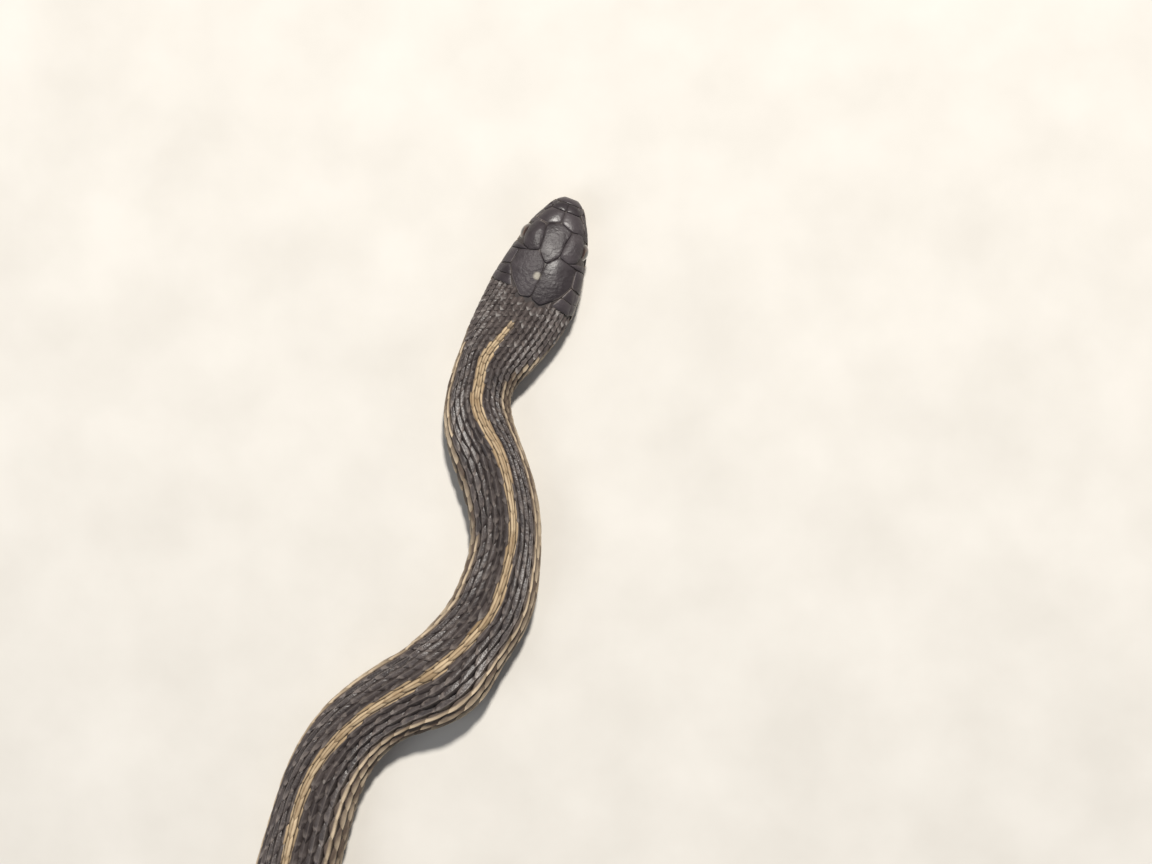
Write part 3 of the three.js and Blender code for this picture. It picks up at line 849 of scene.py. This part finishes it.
scutes = copies_mesh(
    "belly_scutes", scute_faces, scute_all, scute_local, draw.uniform(0, 1, len(scute_centre)),
    strip_roots(scute_centre, np.full(len(scute_centre), 0.5)),
    np.array([STRIP_SPAN * STRIPS / PATCHES_ALONG, PATCH_ACROSS / STRIPS]),
)
scutes.data.materials.append(new_material("belly_plates", scute_finish, roughness=0.36, relief_strength=0.2))
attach(scutes, "root")


# The head shields: large thin horn plates laid edge to edge over the crown, smooth and a little domed,
# with fine sutures between them. One round disc of rings is modelled, and every plate is that disc
# drawn out to the plate's own corners and wrapped on the head.
SUTURE = 0.04
DISC_SIDES = 48
DISC_BOTTOM = -0.30
DISC_RINGS = [(1.0, 0.07), (0.97, 0.13), (0.92, 0.155), (0.78, 0.17), (0.6, 0.185), (0.4, 0.19), (0.2, 0.195)]
RIM_RINGS = 0.7
RIM_WIDTH = 2.2
RIM_REACH = 0.9
INNER_REACH = 0.97
CORNER_CUT = 0.12
CORNER_PULL = 0.03
PATCH_SHARE = 0.9
SHIELD_COLOURS = [(0.024, 0.019, 0.021), (0.064, 0.054, 0.058)]
SHIELD_RIM = (0.21, 0.18, 0.165)
PALE_SPOT = {"at": 13.9, "left": 0.5, "lift": 0.18, "inner": 0.70, "outer": 1.12, "blur": 0.8}
SPOT_COLOUR = (0.30, 0.275, 0.23)

# Corners as a distance and a length to the left of the midline, in millimetres, and each plate's bulge.
FRONTAL = [(4.5, 0), (5.3, 2.2), (7.5, 1.8), (9.8, 1.7), (11.6, 0), (9.8, -1.7), (7.5, -1.8), (5.3, -2.2)]
CROWN = {
    "internasal": [(1.1, 0), (1.1, 1.2), (1.7, 2.2), (2.5, 2.3), (2.5, 0)],
    "prefrontal": [(2.5, 0), (2.5, 2.3), (3.4, 3.2), (5, 3.9), (5.3, 2.2), (4.5, 0)],
    "supraocular": [
        (5.3, 2.2), (5.1, 3.7), (6.4, 4.5), (8.2, 4.8), (9.8, 4.5), (10.3, 3.3), (9.8, 1.7), (7.5, 1.8),
    ],
    "parietal": [
        (9.8, 1.7), (10.3, 3.3), (10.6, 4.7), (13.4, 5.2), (15.6, 4.2), (17.9, 1.8), (17.4, 0), (11.6, 0),
    ],
}
BULGES = {"internasal": 0.08, "prefrontal": 0.12, "supraocular": 0.38, "parietal": 0.08}


def model_disc():
    """A closed disc of rings: each point has a share of the way to the rim, a place round it and a rise."""
    bpy.ops.object.select_all(action="DESELECT")
    bpy.ops.mesh.primitive_circle_add(vertices=DISC_SIDES, radius=1.0, fill_type="NOTHING")
    disc = bpy.context.active_object
    open_mesh()
    bpy.ops.transform.translate(value=(0, 0, DISC_BOTTOM))
    share, rise = 1.0, DISC_BOTTOM
    for new_share, new_rise in DISC_RINGS:
        bpy.ops.mesh.extrude_region_move(TRANSFORM_OT_translate={"value": (0, 0, new_rise - rise)})
        bpy.ops.transform.resize(value=(new_share / share, new_share / share, 1))
        share, rise = new_share, new_rise
    bpy.ops.mesh.edge_face_add()
    bpy.ops.mesh.poke()
    cap_open_ends()
    close_mesh()
    return taken_apart(disc)


disc_points, disc_faces = model_disc()
disc_share = np.hypot(disc_points[:, 0], disc_points[:, 1])
disc_turn = np.mod(np.arctan2(disc_points[:, 1], disc_points[:, 0]) / (2 * math.pi), 1.0)
disc_rise = disc_points[:, 2]


def angle_across(distance, left):
    """The angle at which the crown is this far from the midline."""
    width, top, bottom, widest, power = section(distance)
    share = np.minimum(np.abs(left) / width, 0.995)
    return np.sign(left) * np.arcsin(share ** (power / 2))


def girth_length(distance, angle):
    """The signed length round the section at an angle."""
    row = np.array([np.interp(np.abs(a), girth_angles, girth[np.abs(girth_places - d).argmin()])
                    for d, a in zip(np.atleast_1d(distance), np.atleast_1d(angle))])
    return np.sign(angle) * row


def crown_corners(corners, side):
    at, left = np.array(corners, float).T
    left = left * side
    return np.stack((at, girth_length(at, angle_across(at, left))), axis=-1)


def rounded(corners, sides):
    """An outline through the corners, softly rounded at each, with even steps."""
    corners = np.array(corners, float)
    path = []
    for before, corner, after in zip(np.roll(corners, 1, 0), corners, np.roll(corners, -1, 0)):
        path.append(corner + (before - corner) * CORNER_CUT)
        path.append(corner + (before + after - 2 * corner) * CORNER_PULL)
        path.append(corner + (after - corner) * CORNER_CUT)
    path = np.array(path + [path[0]])
    steps = np.concatenate(([0], np.cumsum(np.linalg.norm(np.diff(path, axis=0), axis=1))))
    even = np.linspace(0, steps[-1], sides + 1)
    return np.stack((np.interp(even, steps, path[:, 0]), np.interp(even, steps, path[:, 1])), axis=-1)


def wrap_plate(corners, bulge=0.0):
    """The disc drawn out to corners of a distance and a length from the midline, and wrapped on the head.
    Its outer rings follow the rim at their own width, and its inner rings share out the rest."""
    rim = rounded(corners, DISC_SIDES)
    centre = rim[:-1].mean(axis=0)
    where = disc_turn * DISC_SIDES
    i = np.minimum(where.astype(int), DISC_SIDES - 1)
    edge = rim[i] + (rim[i + 1] - rim[i]) * (where - i)[:, None]
    arm = edge - centre
    reach = np.linalg.norm(arm, axis=1)
    inset = np.minimum((1 - disc_share) * reach * RIM_REACH, (1 - disc_share) * RIM_WIDTH)
    ring = np.where(disc_share > RIM_RINGS, reach - SUTURE / 2 - inset, reach * disc_share * INNER_REACH)
    flat = centre + arm / (reach[:, None] + 1e-9) * np.maximum(ring, 0)[:, None]
    distance, length = flat.T
    angle = angle_round(distance, length)
    lift = disc_rise + bulge * (1 - disc_share ** 2) - nostril_depth(on_surface(distance, angle, 0.0))
    return on_surface(distance, angle, lift)


def join_plates(name, plates, finish):
    """Some plates as one piece, each with its own patch of the unwrap."""
    points = np.array(plates)
    count = len(points)
    columns = math.ceil(math.sqrt(count))
    local = np.stack((disc_points[:, 0] + 1, disc_points[:, 1] + 1), axis=-1) / 2
    patches = [((k % columns + 0.5) / columns, (k // columns + 0.5) / columns) for k in range(count)]
    patch = np.array([PATCH_SHARE / columns, PATCH_SHARE / columns])
    piece = copies_mesh(name, disc_faces, points, local, draw.uniform(0, 1, count), np.array(patches), patch)
    piece.data.materials.append(finish)
    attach(piece, "root")


def way_from(start, spot, where):
    """How far each place is from a spot."""
    return start.node("ShaderNodeVectorMath", {"operation": "DISTANCE"}, {0: where, 1: spot}, "Value")


def way_to_rim(start):
    """How far out on its plate each place is, 0 in the middle and 1 at the rim."""
    unwrap = start.node("ShaderNodeUVMap", {"uv_map": "Own"})
    return way_from(start, (0.5, 0.5, 0.0), unwrap) * 2.0


def shield_finish(start):
    """Black-brown horn with a broken pale rim, and one small pale spot on the left parietal plate."""
    mottle = grain(start, 520.0, 5.0)
    dark = (mottle * 0.65 + attribute(start, "tint") * 0.35).stretch(0.25, 0.75)
    colour = dark.blend(*SHIELD_COLOURS)
    broken = grain(start, 240.0, 2.0).stretch(0.50, 0.62)
    rim = way_to_rim(start).stretch(0.90, 0.98) * broken
    colour = (rim * 0.75).blend(colour, SHIELD_RIM)
    from_spot = way_from(start, tuple(spot_centre), objects_place(start)) + mottle * (PALE_SPOT["blur"] * MM)
    spot = from_spot.stretch(PALE_SPOT["outer"] * MM, PALE_SPOT["inner"] * MM)
    colour = spot.blend(colour, SPOT_COLOUR)
    # Worn patches are rougher and more deeply pitted, so their glints come from the relief and not from
    # painted colour.
    wear_and_glint = grain(start, 150.0, 2.0).stretch(0.42, 0.60)
    pits = grain(start, 1700.0, 5.0)
    return colour, mottle * 0.4 + wear_and_glint * 0.4 + 0.6, pits * (wear_and_glint * 0.8 + 0.2) + mottle * 0.3


spot_angle = angle_across(np.array(PALE_SPOT["at"]), np.array(PALE_SPOT["left"]))
spot_centre = to_world(on_surface(PALE_SPOT["at"], spot_angle, PALE_SPOT["lift"]))[0]
head_shields = new_material("head_shields", shield_finish, roughness=0.42, relief_strength=1.0, specular=0.3)
crown_plates = [wrap_plate(crown_corners(FRONTAL, 1))]
for plate, corners in CROWN.items():
    for side in (1, -1):
        crown_plates.append(wrap_plate(crown_corners(corners, side), BULGES[plate]))
join_plates("crown_shields", crown_plates, head_shields)


# The plates of the nose and of the sides of the head: thin dark horn like the crown's, from the nostril
# over the cheek to the eye, and behind the eye over the temple. The one at the tip of the snout wraps
# round it. Each is the same disc, drawn out to its own corners.
ROSTRAL = [(0.12, 96), (0.12, 0), (0.12, -96), (1.02, -74), (1.06, 0), (1.02, 74)]
CHEEKS = [
    (1.15, 2.1, 3.75, 5.1), (2.1, 3.2, 3.75, 5.2), (3.2, 5, 3.8, 5.3), (5, 5.85, 3.6, 6.6),
    (9.65, 10.7, 3.7, 4.7), (9.65, 10.7, 4.7, 5.7),
]
TEMPLES = [
    ([(9.65, 5.7), (10.7, 5.7)], [(10.65, 4.85), (10.3, 3.4), (9.85, 4.5)]),
    ([(10.75, 4.9), (13.9, 5.0)], [(13.5, 5.2), (10.7, 4.8)]),
    ([(13.9, 5.0), (15.4, 5.05)], [(15.6, 6.05), (14.0, 5.95)]),
    ([(15.4, 5.05), (17.0, 5.1)], [(17.1, 6.15), (15.6, 6.05)]),
    ([(14.0, 6.8), (15.7, 6.6)], [(15.4, 4.35), (13.5, 5.2)]),
    ([(15.7, 6.6), (17.3, 6.4)], [(17.1, 3.5), (15.4, 4.35)]),
]
TEMPLE_BULGE = 0.12


def side_corners(corners, side):
    """Corners from distances and heights on the side of the head."""
    at, height = np.array(corners, float).T
    return np.stack((at, girth_length(at, side * angle_up(at, height))), axis=-1)


def turned_corners(corners, side):
    """Corners from distances and angles in degrees, of which 0 is the back and 180 the chin."""
    at, angle = np.array(corners, float).T
    return np.stack((at, girth_length(at, side * np.radians(angle))), axis=-1)


cheek_plates = [wrap_plate(turned_corners(ROSTRAL, 1))]
for side in (1, -1):
    for first, last, low, high in CHEEKS:
        box = [(first, low), (last, low), (last, high), (first, high)]
        cheek_plates.append(wrap_plate(side_corners(box, side)))
    for below, above in TEMPLES:
        corners = np.concatenate((side_corners(below, side), crown_corners(above, side)))
        cheek_plates.append(wrap_plate(corners, TEMPLE_BULGE))
join_plates("cheek_plates", cheek_plates, head_shields)


# The plates of the lips: a row above and a row below the closed mouth, of smooth tan horn that darkens
# towards each plate's rim. The line of the mouth parts the rows, and each plate is the same disc again.
LIP_START = 0.9
UPPER_LIPS = 8
LOWER_LIPS = 9
UPPER_LIP_TOPS = [(0.9, 3.8), (4.5, 3.8), (6, 3.45), (9.5, 3.5), (11, 4.85), (14, 4.95), (17.6, 4.9)]
LOWER_LIP_DEPTH = 1.25
MOUTH_GAP = 0.10
ABOVE_UNDERSIDE = 0.05
LIP_COLOURS = [(0.145, 0.105, 0.07), (0.32, 0.25, 0.17)]
LIP_RIM = (0.06, 0.045, 0.035)


def lip_finish(start):
    mottle = grain(start, 420.0, 4.0)
    warm = (mottle * 0.7 + attribute(start, "tint") * 0.3).stretch(0.3, 0.7)
    colour = warm.blend(*LIP_COLOURS)
    rim = (way_to_rim(start) + mottle * 0.25).stretch(0.9, 1.12)
    colour = (rim * 0.8).blend(colour, LIP_RIM)
    return colour, mottle * 0.3 + 0.8, mottle


def lip_row(edges, low, high, side):
    """A row of plates from the snout to the corner of the mouth, parted at edges, each with two heights."""
    plates = []
    for i in range(len(edges) - 1):
        j = i + 1
        box = [(edges[i], low[i]), (edges[j], low[j]), (edges[j], high[j]), (edges[i], high[i])]
        plates.append(wrap_plate(side_corners(box, side)))
    return plates


upper_edges = np.linspace(LIP_START, MOUTH_END, UPPER_LIPS + 1)
upper_low = through(MOUTH_LINE, upper_edges) + MOUTH_GAP
upper_high = through(UPPER_LIP_TOPS, upper_edges)
lower_edges = np.linspace(LIP_START, MOUTH_END, LOWER_LIPS + 1)
lower_high = through(MOUTH_LINE, lower_edges) - MOUTH_GAP
lower_low = np.maximum(lower_high - LOWER_LIP_DEPTH, section(lower_edges)[2] + ABOVE_UNDERSIDE)
lip_horn = new_material("lip_plates", lip_finish, roughness=0.36, relief_strength=0.25)
lip_plates = []
for side in (1, -1):
    lip_plates += lip_row(upper_edges, upper_low, upper_high, side)
    lip_plates += lip_row(lower_edges, lower_low, lower_high, side)
join_plates("lip_plates", lip_plates, lip_horn)


# The plates of the chin: three pairs of long smooth tan plates under the jaw, side by side along the
# midline, of the same horn as the lips.
CHIN = [(2.6, 5.6, 178, 150), (5.6, 9.6, 176, 152), (9.6, 14, 172, 146)]

chin_plates = []
for side in (1, -1):
    for first, last, inner, outer in CHIN:
        box = [(first, inner), (last, inner), (last, outer), (first, outer)]
        chin_plates.append(wrap_plate(turned_corners(box, side)))
join_plates("chin_plates", chin_plates, lip_horn)


# The stand-in for a museum table: a plain pale floor, a soft key light high ahead of the snout, a faint
# fill from the left and a pale surround. The camera looks straight down on the forebody.
FLOOR_SIZE = 30.0
FLOOR_COLOURS = [(0.60, 0.575, 0.53), (0.66, 0.635, 0.59)]
PICTURE_WIDTH = 184.3
VIEW_ANGLE = math.radians(24)
BACK_LEVEL = 6.0
SURROUND_COLOUR = (0.86, 0.90, 1.0, 1.0)
SURROUND_STRENGTH = 0.23

bpy.ops.object.select_all(action="DESELECT")
bpy.ops.mesh.primitive_plane_add(size=FLOOR_SIZE, location=(0, 0, 0))
floor = bpy.context.active_object
floor.name = "floor"


def floor_finish(start):
    speck = grain(start, 60.0, 4.0)
    colour = speck.stretch(0.3, 0.7).blend(*FLOOR_COLOURS)
    return colour, 1.0, None


floor.data.materials.append(new_material("pale_floor", floor_finish, roughness=0.85, specular=0.2))

# The route's own zero lies in the middle of the picture.
picture_x, picture_y = shift[0] * MM, shift[1] * MM


def soft_light(name, spot, size, energy, colour):
    """A round area light, turned to the middle of the picture."""
    bpy.ops.object.light_add(type="AREA", location=spot)
    lamp = bpy.context.active_object
    lamp.name = name
    lamp.data.shape = "DISK"
    lamp.data.size = size
    lamp.data.energy = energy
    lamp.data.color = colour
    x, y, z = np.array([picture_x, picture_y, 0.0]) - np.array(spot)
    lamp.rotation_euler = (math.atan2(math.hypot(x, y), -z), 0.0, math.atan2(x, -y) + math.pi)


soft_light("key_light", (0.08, 0.58, 0.85), size=0.10, energy=13.0, colour=(1.0, 0.96, 0.90))
soft_light("fill_light", (-0.6, -0.2, 0.7), size=0.5, energy=1.5, colour=(0.92, 0.96, 1.0))
surround = bpy.data.worlds.new("surround")
surround.use_nodes = True
surround.node_tree.nodes["Background"].inputs["Color"].default_value = SURROUND_COLOUR
surround.node_tree.nodes["Background"].inputs["Strength"].default_value = SURROUND_STRENGTH
bpy.context.scene.world = surround
bpy.context.scene.view_settings.view_transform = "Standard"

camera_data = bpy.data.cameras.new("camera")
camera_data.sensor_width = 36.0
camera_data.lens = camera_data.sensor_width / 2 / math.tan(VIEW_ANGLE / 2)
camera_data.clip_start = 0.01
camera = bpy.data.objects.new("camera", camera_data)
bpy.context.collection.objects.link(camera)
camera_height = PICTURE_WIDTH / 2 / math.tan(VIEW_ANGLE / 2) + BACK_LEVEL
camera.location = (picture_x, picture_y, camera_height * MM)
camera.rotation_euler = (0.0, 0.0, 0.0)
bpy.context.scene.camera = camera
